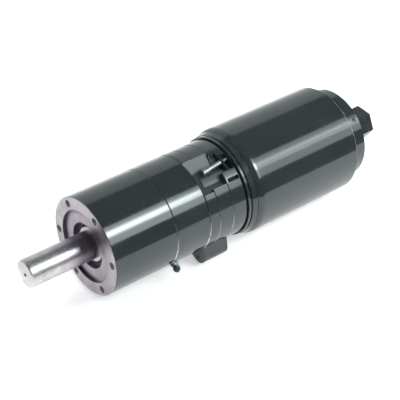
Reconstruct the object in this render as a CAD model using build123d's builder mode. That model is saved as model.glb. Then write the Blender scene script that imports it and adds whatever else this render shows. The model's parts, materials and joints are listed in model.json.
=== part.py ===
from build123d import *
from math import acos, cos, degrees, pi, radians, sin, sqrt, tan
import os

os.makedirs("parts", exist_ok=True)

# A planetary gearmotor on one axis: two-stage planetary gearbox, adapter and brushed motor.
# Millimetres. The origin is the centre of the machined mounting face. +X runs along the shaft
# axis, out of the output shaft, and +Z is up as the unit lies on a table. Every angle round the
# axis is counted from +Y towards +Z.

# ---------------------------------------------------------------- driving dimensions
casing_r = 45.0
can_r = 50.5
cap_r = 43.0
shaft_r = 12.5
shaft_end_x = 59.0

joint_1_x = -64.0        # output housing | ring gear casing
joint_2_x = -99.5        # ring gear casing | adapter
joint_3_x = -110.4       # first groove round the adapter
joint_4_x = -125.4       # second groove round the adapter
adapter_rear_x = -140.0
can_front_x = -150.2
can_rear_x = -268.9
cap_rear_x = -286.7

edge = 0.6               # small chamfer on the casing edges
fit = 0.02               # radial play between pieces that are pressed or located together
seal_play = 0.05         # radial play of a seal lip on its shaft

# mounting face
recess_r = 33.0
recess_depth = 2.5
face_bolt_count = 6
face_bolt_pcd_r = 39.0
face_bolt_r = 3.4
face_bolt_depth = 16.0
face_bolt_angle = 5.0

# gear train: both stages share the module, the tooth counts and the ring gear
module = 1.25
sun_teeth = 18
planet_teeth = 18
ring_teeth = 54
pressure_angle = 20.0
tooth_thinning = 0.12
planet_count = 3
first_planet_angle = 90.0
orbit_r = module * (sun_teeth + planet_teeth) / 2

# shaft bearings: bore radius, outer radius, width, ball radius, balls in one bearing
output_bearing = (15.0, 31.0, 16.0, 4.75, 9)
pinion_bearing = (7.5, 17.5, 11.0, 3.0, 8)
motor_bearing = (8.5, 20.0, 12.0, 3.35, 8)
front_bearing_x = -15.0
rear_bearing_x = -37.0
pinion_bearing_x = -100.0
motor_front_bearing_x = -146.0
motor_rear_bearing_x = -266.0
race_play = 0.05

# seal at the output
seal_bore_r = 21.0
seal_front_x = -7.2
seal_rear_x = -13.9
sleeve_r = 16.0
sleeve_front_x = -5.5

# axial places of the gear train
spigot_front_x = -57.8
carrier_front_x = -58.2
carrier_rear_x = -69.4
ring_gear_front_x = -70.5
ring_gear_rear_x = -94.5
output_gear_front_x = -70.8
output_gear_rear_x = -82.4
input_carrier_front_x = -84.6
input_carrier_rear_x = -87.6
input_gear_front_x = -88.2
input_gear_rear_x = -94.0
carrier_r = 32.5
output_pin_r = 4.0
bush_r = 6.0
input_pin_r = 2.5
pinion_shaft_r = 7.5
motor_shaft_r = 8.5

# adapter: pockets, lug and their screws
adapter_spigot_x = -94.8
adapter_bore_r = 33.0
adapter_wall_x = -111.0
pocket_turns = (0.0, 180.0)
pocket_floor_angle = 66.0       # the direction that a pocket's flat floor faces
pocket_floor_distance = 36.5    # the floor's distance from the axis
pocket_wall_foot_angle = 70.0   # where the sloping wall meets the floor
pocket_corner_x = -131.5
# front, rear, lower edge and upper edge of each step of a pocket
pocket_steps = (
    (joint_2_x, joint_3_x, 37.5, 83.5),
    (joint_3_x, joint_4_x, 40.0, 83.5),
    (joint_4_x, pocket_corner_x, 53.0, 80.0),
    (pocket_corner_x, adapter_rear_x, 53.0, 74.0),
)
pad_front_x = -107.0
pad_top_r = 38.8
pad_start_angle = 46.5
pad_end_angle = 57.5
rib_front_x = -133.0
rib_rear_x = -135.0
rib_r = 43.2
rib_start_angle = 52.0
rib_end_angle = 75.0
wall_slot_front_x = -127.2
wall_slot_rear_x = -139.2
wall_slot_floor_r = 42.4
wall_slot_start_angle = 39.6
wall_slot_end_angle = 44.2
pocket_screw_r = 1.5
pocket_screw_orbit_r = 40.6
pocket_screw_angle = 64.9       # at the underside of the head
pocket_screw_skew = 6.5         # the screws' slope round the axis, towards the motor
lug_angle = -55.0
lug_orbit_r = 47.5
lug_r = 9.4
lug_hole_orbit_r = 50.8
lug_hole_angle = -57.5
lug_hole_r = 2.0
lug_hole_depth = 18.0
lug_root_r = 41.0

# motor
can_wall = 4.0
can_edge = 1.0
can_shoulder = 7.0
airgap = 0.8
magnet_r = 41.0
rotor_front_x = -172.0
rotor_rear_x = -232.0
slot_count = 14

# rear end
gland_flats = 27.0
gland_orbit_r = 26.2
gland_angle = 37.4
gland_vertex_angle = 54.3
gland_rear_x = -302.0
cap_screw_x = -280.4
cap_screw_angle = 45.6


# ---------------------------------------------------------------- helpers
def save(piece, label):
    """Label a finished piece and write it under the same name."""
    piece.label = label
    export_step(piece, f"parts/{label}.step")


def on_face(radius, angle):
    """Local coordinates in a plane across the axis, at a radius and an angle from +Y."""
    return (radius * cos(radians(angle)), radius * sin(radians(angle)))


def radial_plane(x, angle, radius):
    """A plane that looks outwards from the axis, with its local X along the shaft axis."""
    outwards = Vector(0, cos(radians(angle)), sin(radians(angle)))
    return Plane(origin=Vector(x, 0, 0) + outwards * radius, x_dir=(1, 0, 0), z_dir=outwards)


def turned(outline):
    """A solid of revolution about the shaft axis, from the (x, radius) corners of its half section."""
    with BuildPart() as body:
        with BuildSketch(Plane.XY):
            with BuildLine():
                Polyline(*outline, close=True)
            make_face()
        revolve(axis=Axis.X)
    return body.part


def ring(x_front, x_rear, inner_r, outer_r):
    """A plain ring, or a disc where the inner radius is 0."""
    with BuildPart() as body:
        with BuildSketch(Plane.YZ.offset(x_rear)):
            Circle(outer_r)
            if inner_r > 0:
                Circle(inner_r, mode=Mode.SUBTRACT)
        extrude(amount=x_front - x_rear)
    return body.part


def sector(x_front, x_rear, inner_r, outer_r, start_angle, end_angle):
    """A piece of a ring between two angles less than 180 degrees apart."""
    reach = 3 * outer_r
    with BuildPart() as body:
        with BuildSketch(Plane.YZ.offset(x_rear)):
            Circle(outer_r)
            Circle(inner_r, mode=Mode.SUBTRACT)
            with BuildLine():
                Polyline((0, 0), on_face(reach, start_angle), on_face(reach, end_angle), close=True)
            make_face(mode=Mode.INTERSECT)
        extrude(amount=x_front - x_rear)
    return body.part


def involute(x):
    """The involute function of a pressure angle in radians."""
    return tan(x) - x


def tooth_half_angle(radius, pitch_r, half_thickness):
    """Half the angle that an external tooth takes up at a radius, in radians."""
    base_r = pitch_r * cos(radians(pressure_angle))
    at_radius = acos(min(1.0, base_r / max(radius, base_r)))
    return half_thickness / pitch_r + involute(radians(pressure_angle)) - involute(at_radius)


def toothed_sketch(teeth, root_r, tip_r, thinning):
    """A toothed outline across the axis, with a tooth centred on the first planet's angle.

    For an internal gear this is the shape that is cut away, so its thinning is negative.
    """
    pitch_r = module * teeth / 2
    half_thickness = pi * module / 4 - thinning / 2
    base_r = pitch_r * cos(radians(pressure_angle))
    flank_start_r = max(root_r, base_r)
    flank_radii = [flank_start_r + (tip_r - flank_start_r) * step / 3 for step in range(4)]
    half_angles = [degrees(tooth_half_angle(radius, pitch_r, half_thickness)) for radius in flank_radii]
    right = [on_face(radius, first_planet_angle - half) for radius, half in zip(flank_radii, half_angles)]
    left = [on_face(radius, first_planet_angle + half) for radius, half in zip(flank_radii, half_angles)]
    foot_r = root_r - 0.3
    foot_right = on_face(foot_r, first_planet_angle - half_angles[0])
    foot_left = on_face(foot_r, first_planet_angle + half_angles[0])
    with BuildSketch() as tooth:
        with BuildLine():
            Line(foot_right, right[0])
            Spline(*right)
            ThreePointArc(right[-1], on_face(tip_r, first_planet_angle), left[-1])
            Spline(*left)
            Line(left[0], foot_left)
            Line(foot_left, foot_right)
        make_face()
    with BuildSketch() as outline:
        Circle(root_r)
        with PolarLocations(0, teeth):
            add(tooth.sketch_local)
    return outline.sketch_local


def spur_gear(teeth, x_front, x_rear, bore_r):
    """An external gear on the shaft axis."""
    pitch_r = module * teeth / 2
    outline = toothed_sketch(teeth, pitch_r - 1.25 * module, pitch_r + 0.95 * module, tooth_thinning)
    with BuildPart() as gear:
        with BuildSketch(Plane.YZ.offset(x_rear)):
            add(outline)
            if bore_r > 0:
                Circle(bore_r, mode=Mode.SUBTRACT)
        extrude(amount=x_front - x_rear)
    return gear.part


def planet_angles():
    """The angle of each planet round the sun."""
    return [first_planet_angle + 360 / planet_count * index for index in range(planet_count)]


def bearing_pitch_r(bearing):
    """The radius of the circle through the balls' centres."""
    return (bearing[0] + bearing[1]) / 2


def bearing_ring(bearing, x_front, inner):
    """The inner or the outer ring of a deep groove ball bearing."""
    bore_r, outer_r, width, ball_r, _ = bearing
    pitch_r = bearing_pitch_r(bearing)
    land = 0.45 * ball_r
    start_r, end_r = (bore_r + fit, pitch_r - land) if inner else (pitch_r + land, outer_r - fit)
    with BuildPart() as body:
        with BuildSketch(Plane.XY):
            with Locations((x_front - width / 2, (start_r + end_r) / 2)):
                RectangleRounded(width, end_r - start_r, 0.6)
            with Locations((x_front - width / 2, pitch_r)):
                Circle(ball_r + race_play, mode=Mode.SUBTRACT)
        revolve(axis=Axis.X)
    return body.part


def bearing_cage(bearing, x_front):
    """The ball set of a bearing: its balls, and the cage that they sit in with a little play."""
    _, _, width, ball_r, count = bearing
    pitch_r = bearing_pitch_r(bearing)
    x_middle = x_front - width / 2
    cage_half_width = ball_r + 1.0
    cage_half_height = 0.3 * ball_r
    cage = ring(x_middle + cage_half_width, x_middle - cage_half_width,
                pitch_r - cage_half_height, pitch_r + cage_half_height)
    pieces = []
    pockets = []
    for index in range(count):
        y, z = on_face(pitch_r, 360 / count * index)
        pieces.append(Pos(x_middle, y, z) * Sphere(ball_r))
        pockets.append(Pos(x_middle, y, z) * Sphere(ball_r + 2 * race_play))
    with BuildPart() as body:
        add(cage)
        add(pockets, mode=Mode.SUBTRACT)
    return body.part.solids() + [piece.solid() for piece in pieces]


def socket_screw(shank_r, length, head_r, head_length, socket_flats):
    """A hexagon socket screw: its head's underside is at the origin and its shank runs along -Z."""
    with BuildPart() as screw:
        with BuildSketch(Plane.XY.offset(-length)):
            Circle(shank_r)
        extrude(amount=length)
        chamfer(screw.faces().sort_by(Axis.Z)[0].edges(), shank_r * 0.2)
        with BuildSketch(Plane.XY):
            Circle(head_r)
        extrude(amount=head_length)
        chamfer(screw.faces().sort_by(Axis.Z)[-1].edges(), head_r * 0.1)
        with BuildSketch(Plane.XY.offset(head_length)):
            RegularPolygon(socket_flats / 2, 6, major_radius=False)
        extrude(amount=-head_length * 0.6, mode=Mode.SUBTRACT)
    return screw.part


def set_screw(screw_r, length, socket_flats):
    """A headless screw with its hexagon socket in the XY plane, running along -Z."""
    with BuildPart() as screw:
        with BuildSketch(Plane.XY.offset(-length)):
            Circle(screw_r)
        extrude(amount=length)
        chamfer(screw.edges().filter_by(GeomType.CIRCLE), screw_r * 0.15)
        with BuildSketch(Plane.XY):
            RegularPolygon(socket_flats / 2, 6, major_radius=False)
        extrude(amount=-length * 0.5, mode=Mode.SUBTRACT)
    return screw.part


# ---------------------------------------------------------------- output housing
housing_bore_r = output_bearing[1]
bearing_seat_rear_x = rear_bearing_x - output_bearing[2]
circlip_rear_x = bearing_seat_rear_x - 1.7
circlip_groove_r = housing_bore_r + 2.0
spigot_r = 40.0
housing_section = turned([
    (0, recess_r),
    (0, casing_r - edge),
    (-edge, casing_r),
    (joint_1_x + edge, casing_r),
    (joint_1_x, casing_r - edge),
    (joint_1_x, spigot_r + 0.05),
    (spigot_front_x + 0.3, spigot_r + 0.05),
    (spigot_front_x + 0.3, housing_bore_r),
    (circlip_rear_x, housing_bore_r),
    (circlip_rear_x, circlip_groove_r),
    (bearing_seat_rear_x, circlip_groove_r),
    (bearing_seat_rear_x, housing_bore_r),
    (front_bearing_x, housing_bore_r),
    (front_bearing_x, sleeve_r + 2),
    (seal_rear_x - 0.1, sleeve_r + 2),
    (seal_rear_x - 0.1, seal_bore_r),
    (-recess_depth, seal_bore_r),
    (-recess_depth, recess_r),
])
with BuildPart() as output_housing:
    add(housing_section)
    with BuildSketch(Plane.YZ):
        with PolarLocations(face_bolt_pcd_r, face_bolt_count, start_angle=face_bolt_angle):
            Circle(face_bolt_r)
    extrude(amount=-face_bolt_depth, mode=Mode.SUBTRACT)
save(output_housing.part, "output_housing")

save(turned([
    (seal_front_x, seal_bore_r - fit),
    (seal_front_x, sleeve_r + 1.4),
    (seal_front_x - 1.6, sleeve_r + seal_play),
    (seal_front_x - 2.6, sleeve_r + seal_play),
    (seal_front_x - 3.8, sleeve_r + 1.8),
    (seal_rear_x, sleeve_r + 1.8),
    (seal_rear_x, seal_bore_r - fit),
]), "output_seal")

bearing_fronts = (front_bearing_x, rear_bearing_x)
outer_rings = Compound(children=[bearing_ring(output_bearing, x, inner=False) for x in bearing_fronts])
inner_rings = Compound(children=[bearing_ring(output_bearing, x, inner=True) for x in bearing_fronts])
ball_sets = Compound(children=[piece for x in bearing_fronts for piece in bearing_cage(output_bearing, x)])
save(outer_rings, "output_bearing_outer_rings")
save(inner_rings, "output_bearing_inner_rings")
save(ball_sets, "output_bearing_ball_sets")

circlip_width = 2.6
circlip_ring = ring(bearing_seat_rear_x - 0.1, circlip_rear_x + 0.1,
                    housing_bore_r - circlip_width, circlip_groove_r - 0.1)
circlip_gap_angle = 12.0
circlip_gap = sector(bearing_seat_rear_x + 1, circlip_rear_x - 1, housing_bore_r - 5, circlip_groove_r + 1,
                     270 - circlip_gap_angle, 270 + circlip_gap_angle)
with BuildPart() as bearing_circlip:
    add(circlip_ring)
    add(circlip_gap, mode=Mode.SUBTRACT)
save(bearing_circlip.part, "bearing_circlip")

# ---------------------------------------------------------------- output shaft and planet carrier
key_width = 8.0
key_depth = 4.0
key_length = 40.0
key_angle = 216.0
bearing_seat_r = output_bearing[0]
shoulder_r = 17.6
sleeve_seat_r = 12.7
centre_hole_r = 1.3
centre_cone_r = 2.6
shaft_section = turned([
    (shaft_end_x, 0),
    (shaft_end_x, shaft_r - 1.0),
    (shaft_end_x - 1.0, shaft_r),
    (0, shaft_r),
    (0, sleeve_seat_r),
    (front_bearing_x, sleeve_seat_r),
    (front_bearing_x, bearing_seat_r),
    (bearing_seat_rear_x, bearing_seat_r),
    (bearing_seat_rear_x, shoulder_r),
    (carrier_front_x, shoulder_r),
    (carrier_front_x, carrier_r - edge),
    (carrier_front_x - edge, carrier_r),
    (carrier_rear_x + edge, carrier_r),
    (carrier_rear_x, carrier_r - edge),
    (carrier_rear_x, 0),
])
centre_drill = turned([
    (shaft_end_x + 1, 0),
    (shaft_end_x + 1, centre_cone_r),
    (shaft_end_x, centre_cone_r),
    (shaft_end_x - 2.2, centre_hole_r),
    (shaft_end_x - 6.0, centre_hole_r),
    (shaft_end_x - 6.8, 0),
])
key_plane = radial_plane(shaft_end_x, key_angle, shaft_r - key_depth)
with BuildPart() as output_shaft:
    add(shaft_section)
    add(centre_drill, mode=Mode.SUBTRACT)
    with BuildSketch(key_plane):
        with Locations((-key_length / 2, 0)):
            SlotOverall(key_length, key_width)
        with Locations((0, 0)):
            Rectangle(key_length, key_width)
    extrude(amount=2 * key_depth, mode=Mode.SUBTRACT)
    with BuildSketch(Plane.YZ.offset(carrier_rear_x)):
        with PolarLocations(orbit_r, planet_count, start_angle=first_planet_angle):
            Circle(output_pin_r + fit)
    extrude(amount=carrier_front_x - carrier_rear_x - 1.5, mode=Mode.SUBTRACT)
save(output_shaft.part, "output_shaft")

save(turned([
    (sleeve_front_x, sleeve_seat_r + fit),
    (sleeve_front_x, sleeve_r - edge),
    (sleeve_front_x - edge, sleeve_r),
    (front_bearing_x + 0.1, sleeve_r),
    (front_bearing_x + 0.1, sleeve_seat_r + fit),
]), "wear_sleeve")

save(ring(front_bearing_x - output_bearing[2] - 0.05, rear_bearing_x + 0.05, bearing_seat_r + fit, 18.5),
     "bearing_spacer")

output_pin_rear_x = -84.2
with BuildPart() as output_planet_pins:
    with BuildSketch(Plane.YZ.offset(output_pin_rear_x)):
        with PolarLocations(orbit_r, planet_count, start_angle=first_planet_angle):
            Circle(output_pin_r)
    extrude(amount=carrier_front_x - 2 - output_pin_rear_x)
    with BuildSketch(Plane.YZ.offset(output_gear_rear_x - 1.3)):
        with PolarLocations(orbit_r, planet_count, start_angle=first_planet_angle):
            Circle(output_pin_r + 1)
            Circle(output_pin_r - 0.6, mode=Mode.SUBTRACT)
    extrude(amount=0.9, mode=Mode.SUBTRACT)
save(output_planet_pins.part, "output_planet_pins")

with BuildPart() as output_planet_clips:
    with BuildSketch(Plane.YZ.offset(output_gear_rear_x - 1.25)):
        with PolarLocations(orbit_r, planet_count, start_angle=first_planet_angle):
            Circle(output_pin_r + 1.6)
            Circle(output_pin_r - 0.55, mode=Mode.SUBTRACT)
            with Locations((output_pin_r, 0)):
                Rectangle(2 * output_pin_r, output_pin_r, mode=Mode.SUBTRACT)
    extrude(amount=0.8)
save(output_planet_clips.part, "output_planet_clips")

# ---------------------------------------------------------------- ring gear casing
ring_gear_r = 40.0
casing_bore_r = 37.0
casing_rear_edge = 0.9
nipple_x = -69.0
nipple_angle = -45.0
nipple_base_r = casing_r - 0.6
nipple_seat_r = 4.6
nipple_thread_r = 3.0
lock_screw_x = -78.6
lock_screw_angle = 133.0
lock_head_r = 7.0
lock_recess_r = 7.7
lock_head_length = 1.9
lock_seat_r = 42.8
lock_shank_r = 3.0
lock_shank_end_r = 38.2
o_ring_section_r = 0.98
o_ring_orbit_r = 39.02
o_ring_groove_r = 38.0
o_ring_half_groove = 1.2
front_o_ring_x = -61.0
rear_o_ring_x = -97.2
casing_section = turned([
    (spigot_front_x, casing_bore_r),
    (spigot_front_x, spigot_r),
    (front_o_ring_x + o_ring_half_groove, spigot_r),
    (front_o_ring_x + o_ring_half_groove, o_ring_groove_r),
    (front_o_ring_x - o_ring_half_groove, o_ring_groove_r),
    (front_o_ring_x - o_ring_half_groove, spigot_r),
    (joint_1_x, spigot_r),
    (joint_1_x, casing_r - edge),
    (joint_1_x - edge, casing_r),
    (joint_2_x + casing_rear_edge, casing_r),
    (joint_2_x, casing_r - casing_rear_edge),
    (joint_2_x, ring_gear_r + fit),
    (ring_gear_front_x, ring_gear_r + fit),
    (ring_gear_front_x, casing_bore_r),
])
with BuildPart() as ring_gear_casing:
    add(casing_section)
    with BuildSketch(radial_plane(nipple_x, nipple_angle, casing_bore_r - 1)):
        Circle(nipple_thread_r + fit)
    extrude(amount=casing_r - casing_bore_r + 2, mode=Mode.SUBTRACT)
    with BuildSketch(radial_plane(nipple_x, nipple_angle, nipple_base_r)):
        Circle(nipple_seat_r)
    extrude(amount=casing_r - nipple_base_r + 1, mode=Mode.SUBTRACT)
    with BuildSketch(radial_plane(lock_screw_x, lock_screw_angle, ring_gear_r - 1)):
        Circle(lock_shank_r + fit)
    extrude(amount=casing_r - ring_gear_r, mode=Mode.SUBTRACT)
    with BuildSketch(radial_plane(lock_screw_x, lock_screw_angle, lock_seat_r)):
        Circle(lock_recess_r)
    extrude(amount=casing_r - lock_seat_r + 1, mode=Mode.SUBTRACT)
save(ring_gear_casing.part, "ring_gear_casing")

ring_pitch_r = module * ring_teeth / 2
# The outline's teeth are the ring gear's tooth spaces, so it is turned by half a tooth.
ring_spaces = Rot(0, 0, 180 / ring_teeth) * toothed_sketch(
    ring_teeth, ring_pitch_r - 0.95 * module, ring_pitch_r + 1.25 * module, -tooth_thinning)
with BuildPart() as ring_gear:
    with BuildSketch(Plane.YZ.offset(ring_gear_rear_x)):
        Circle(ring_gear_r)
        add(ring_spaces, mode=Mode.SUBTRACT)
    extrude(amount=ring_gear_front_x - ring_gear_rear_x)
    with BuildSketch(radial_plane(lock_screw_x, lock_screw_angle, lock_shank_end_r)):
        Circle(lock_shank_r + fit)
    extrude(amount=4, mode=Mode.SUBTRACT)
save(ring_gear.part, "ring_gear")

lock_screw_plane = radial_plane(lock_screw_x, lock_screw_angle, lock_seat_r)
lock_screw = socket_screw(lock_shank_r, lock_seat_r - lock_shank_end_r, lock_head_r, lock_head_length, 5)
save(lock_screw_plane.location * lock_screw, "ring_gear_lock_screw")

o_rings = []
for o_ring_x in (front_o_ring_x, rear_o_ring_x):
    with BuildPart() as o_ring:
        with BuildSketch(Plane.XY):
            with Locations((o_ring_x, o_ring_orbit_r)):
                Circle(o_ring_section_r)
        revolve(axis=Axis.X)
    o_rings.append(o_ring.part)
save(Compound(children=o_rings), "casing_o_rings")

# Grease nipple: threaded shank, hexagon, and a stem under its push-on cap.
nipple_shank_end_r = ring_gear_r + 0.3
nipple_flats = 7.0
nipple_hexagon_height = 2.6
nipple_stem_r = 1.9
nipple_stem_height = 4.6
cap_ball_r = 3.3
with BuildPart() as grease_nipple:
    with BuildSketch(radial_plane(nipple_x, nipple_angle, nipple_shank_end_r)):
        Circle(nipple_thread_r)
    extrude(amount=nipple_base_r - nipple_shank_end_r)
    with BuildSketch(radial_plane(nipple_x, nipple_angle, nipple_base_r)):
        RegularPolygon(nipple_flats / 2, 6, major_radius=False)
    extrude(amount=nipple_hexagon_height)
    with BuildSketch(radial_plane(nipple_x, nipple_angle, nipple_base_r + nipple_hexagon_height)):
        Circle(nipple_stem_r)
    extrude(amount=nipple_stem_height)
save(grease_nipple.part, "grease_nipple")

cap_base_r = nipple_base_r + nipple_hexagon_height + 0.15
cap_skirt_height = 1.6
cap_skirt_r = sqrt(cap_ball_r ** 2 - (cap_ball_r - cap_skirt_height) ** 2)
stem_hole_height = nipple_stem_height + 0.1
cap_profile_plane = radial_plane(nipple_x, nipple_angle, cap_base_r)
with BuildPart() as grease_nipple_cap:
    with BuildSketch(Plane.XZ):
        with BuildLine():
            Line((0, 0), (cap_skirt_r, 0))
            Line((cap_skirt_r, 0), (cap_skirt_r, cap_skirt_height))
            ThreePointArc((cap_skirt_r, cap_skirt_height), (cap_ball_r, cap_ball_r), (0, 2 * cap_ball_r))
            Line((0, 2 * cap_ball_r), (0, 0))
        make_face()
    revolve(axis=Axis.Z)
    with BuildSketch(Plane.XY):
        Circle(nipple_stem_r + 0.1)
    extrude(amount=stem_hole_height, mode=Mode.SUBTRACT)
save(cap_profile_plane.location * grease_nipple_cap.part, "grease_nipple_cap")

# ---------------------------------------------------------------- output stage
planet_blank = spur_gear(planet_teeth, output_gear_front_x, output_gear_rear_x, bush_r)
# A planet has a tooth space, not a tooth, on the line to the sun's centre.
planet_half_tooth = 180 / planet_teeth
for index, angle in enumerate(planet_angles()):
    y, z = on_face(orbit_r, angle)
    turn = angle - first_planet_angle + planet_half_tooth
    save(Pos(0, y, z) * Rot(turn, 0, 0) * planet_blank, f"output_planet_gear_{index + 1}")
    bush = ring(output_gear_front_x, output_gear_rear_x, output_pin_r + seal_play, bush_r - fit / 2)
    save(Pos(0, y, z) * bush, f"output_planet_bush_{index + 1}")

save(spur_gear(sun_teeth, output_gear_front_x, input_carrier_front_x, 5.0), "output_sun_gear")

# ---------------------------------------------------------------- input stage
with BuildPart() as input_carrier:
    with BuildSketch(Plane.YZ.offset(input_carrier_rear_x)):
        Circle(carrier_r - 1)
        with PolarLocations(orbit_r, planet_count, start_angle=first_planet_angle):
            Circle(input_pin_r + fit, mode=Mode.SUBTRACT)
    extrude(amount=input_carrier_front_x - input_carrier_rear_x)
    with BuildSketch(Plane.YZ.offset(input_carrier_front_x)):
        Circle(5.0 - fit)
    extrude(amount=output_gear_front_x - input_carrier_front_x - 1)
save(input_carrier.part, "input_carrier")

with BuildPart() as input_planet_pins:
    with BuildSketch(Plane.YZ.offset(input_gear_rear_x - 0.3)):
        with PolarLocations(orbit_r, planet_count, start_angle=first_planet_angle):
            Circle(input_pin_r)
    extrude(amount=input_carrier_front_x - input_gear_rear_x)
save(input_planet_pins.part, "input_planet_pins")

input_planet_blank = spur_gear(planet_teeth, input_gear_front_x, input_gear_rear_x, input_pin_r + seal_play)
for index, angle in enumerate(planet_angles()):
    y, z = on_face(orbit_r, angle)
    turn = angle - first_planet_angle + planet_half_tooth
    save(Pos(0, y, z) * Rot(turn, 0, 0) * input_planet_blank, f"input_planet_gear_{index + 1}")

pinion_shaft_rear_x = -120.5
pinion_teeth = spur_gear(sun_teeth, input_gear_front_x, input_gear_rear_x, 0)
with BuildPart() as input_pinion:
    add(pinion_teeth)
    with BuildSketch(Plane.YZ.offset(pinion_shaft_rear_x)):
        Circle(pinion_shaft_r)
    extrude(amount=input_gear_rear_x - pinion_shaft_rear_x)
save(input_pinion.part, "input_pinion")

# ---------------------------------------------------------------- adapter
input_seal_front_x = -95.2
input_seal_rear_x = -98.9
input_seal_r = 13.0
groove_depth = 0.5
groove_half = 0.5
adapter_section = turned([
    (adapter_spigot_x, input_seal_r),
    (adapter_spigot_x, spigot_r),
    (rear_o_ring_x + o_ring_half_groove, spigot_r),
    (rear_o_ring_x + o_ring_half_groove, o_ring_groove_r),
    (rear_o_ring_x - o_ring_half_groove, o_ring_groove_r),
    (rear_o_ring_x - o_ring_half_groove, spigot_r),
    (joint_2_x, spigot_r),
    (joint_2_x, casing_r - edge),
    (joint_2_x - edge, casing_r),
    (joint_3_x + groove_half, casing_r),
    (joint_3_x, casing_r - groove_depth),
    (joint_3_x - groove_half, casing_r),
    (joint_4_x + groove_half, casing_r),
    (joint_4_x, casing_r - groove_depth),
    (joint_4_x - groove_half, casing_r),
    (adapter_rear_x + edge, casing_r),
    (adapter_rear_x, casing_r - edge),
    (adapter_rear_x, adapter_bore_r),
    (adapter_wall_x, adapter_bore_r),
    (adapter_wall_x, pinion_bearing[1]),
    (pinion_bearing_x, pinion_bearing[1]),
    (pinion_bearing_x, input_seal_r - 2),
    (input_seal_rear_x - 0.1, input_seal_r - 2),
    (input_seal_rear_x - 0.1, input_seal_r),
])


def floor_point(angle):
    """The point of a pocket's flat floor at an angle."""
    return on_face(pocket_floor_distance / cos(radians(angle - pocket_floor_angle)), angle)


def pocket_cut(x_front, x_rear, low_angle, high_angle, turn):
    """One step of a pocket: a radial lower wall, the flat floor and a sloping upper wall."""
    outside_r = casing_r + 12
    with BuildPart() as cut:
        with BuildSketch(Plane.YZ.offset(x_rear)) as outline:
            with BuildLine():
                Polyline(on_face(outside_r, low_angle), floor_point(low_angle),
                         floor_point(pocket_wall_foot_angle), on_face(casing_r, high_angle),
                         on_face(outside_r, high_angle), close=True)
            make_face()
        extrude(amount=x_front - x_rear)
    return Rot(turn, 0, 0) * cut.part


def skewed_plane(turn, distance):
    """A plane across a pocket's screw, at a distance behind the underside of its head."""
    angle = radians(pocket_screw_angle + turn)
    along = Vector(cos(radians(pocket_screw_skew)), sin(radians(pocket_screw_skew)) * sin(angle),
                   -sin(radians(pocket_screw_skew)) * cos(angle))
    head = Vector(pocket_head_rear_x, *on_face(pocket_screw_orbit_r, pocket_screw_angle + turn))
    return Plane(origin=head - along * distance, z_dir=along)


def skewed_rod(turn, start, end, radius):
    """A round rod along a pocket's screw, between two distances behind its head."""
    with BuildPart() as rod:
        with BuildSketch(skewed_plane(turn, end)):
            Circle(radius)
        extrude(amount=end - start)
    return rod.part


pocket_head_rear_x = -119.6
pocket_head_r = 2.9
pocket_head_length = 8.5
pocket_screw_length = 31.0
pocket_sleeve_r = 2.35
pocket_sleeve_length = 12.6
screw_hole_start = 8.0
screw_hole_end = 33.0
pocket_cuts = [pocket_cut(*step, turn) for turn in pocket_turns for step in pocket_steps]
pads = [sector(pad_front_x, rib_front_x - 0.5, pocket_floor_distance - 1, pad_top_r,
               pad_start_angle + turn, pad_end_angle + turn) for turn in pocket_turns]
ribs = [sector(rib_front_x, rib_rear_x, pocket_floor_distance - 1, rib_r,
               rib_start_angle + turn, rib_end_angle + turn) for turn in pocket_turns]
wall_slots = [sector(wall_slot_front_x, wall_slot_rear_x, wall_slot_floor_r, casing_r + 1,
                     wall_slot_start_angle + turn, wall_slot_end_angle + turn) for turn in pocket_turns]
screw_holes = [skewed_rod(turn, screw_hole_start, screw_hole_end, pocket_screw_r + fit)
               for turn in pocket_turns]
lug_half_angle = 17.0           # where its flanks, tangent to its round top, meet the adapter
lug_flank_half_angle = 9.2
lug_flank_r = lug_orbit_r + 4.9
with BuildPart() as adapter:
    add(adapter_section)
    with BuildSketch(Plane.YZ.offset(joint_4_x)):
        with Locations(on_face(lug_orbit_r, lug_angle)):
            Circle(lug_r)
        with BuildLine():
            Polyline(on_face(lug_flank_r, lug_angle - lug_flank_half_angle),
                     on_face(casing_r - 0.5, lug_angle - lug_half_angle),
                     on_face(lug_root_r, lug_angle - lug_half_angle / 2),
                     on_face(lug_root_r, lug_angle + lug_half_angle / 2),
                     on_face(casing_r - 0.5, lug_angle + lug_half_angle),
                     on_face(lug_flank_r, lug_angle + lug_flank_half_angle), close=True)
        make_face()
    extrude(amount=joint_2_x - joint_4_x)
    add(pocket_cuts + wall_slots, mode=Mode.SUBTRACT)
    add(pads)
    add(ribs)
    with BuildSketch(Plane.YZ.offset(joint_2_x)):
        with Locations(on_face(lug_hole_orbit_r, lug_hole_angle)):
            Circle(lug_hole_r + fit)
    extrude(amount=-lug_hole_depth, mode=Mode.SUBTRACT)
    add(screw_holes, mode=Mode.SUBTRACT)
save(adapter.part, "adapter")

lug_screw_length = 12.0
lug_screw_plane = Plane(origin=(joint_2_x - 0.1, *on_face(lug_hole_orbit_r, lug_hole_angle)),
                        z_dir=(1, 0, 0))
save(lug_screw_plane.location * set_screw(lug_hole_r, lug_screw_length, 2), "lug_screw")

# The screws in the adapter's pockets clamp it to the motor shield, each over a distance sleeve.
pocket_screws = []
pocket_sleeves = []
for turn in pocket_turns:
    screw = socket_screw(pocket_screw_r, pocket_screw_length, pocket_head_r, pocket_head_length, 2.5)
    pocket_screws.append(skewed_plane(turn, 0).location * screw)
    with BuildPart() as sleeve:
        with BuildSketch(skewed_plane(turn, 0.4 + pocket_sleeve_length)):
            Circle(pocket_sleeve_r)
            Circle(pocket_screw_r + fit, mode=Mode.SUBTRACT)
        extrude(amount=pocket_sleeve_length)
    pocket_sleeves.append(sleeve.part)
save(Compound(children=pocket_screws), "adapter_screws")
save(Compound(children=pocket_sleeves), "adapter_screw_sleeves")

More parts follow.
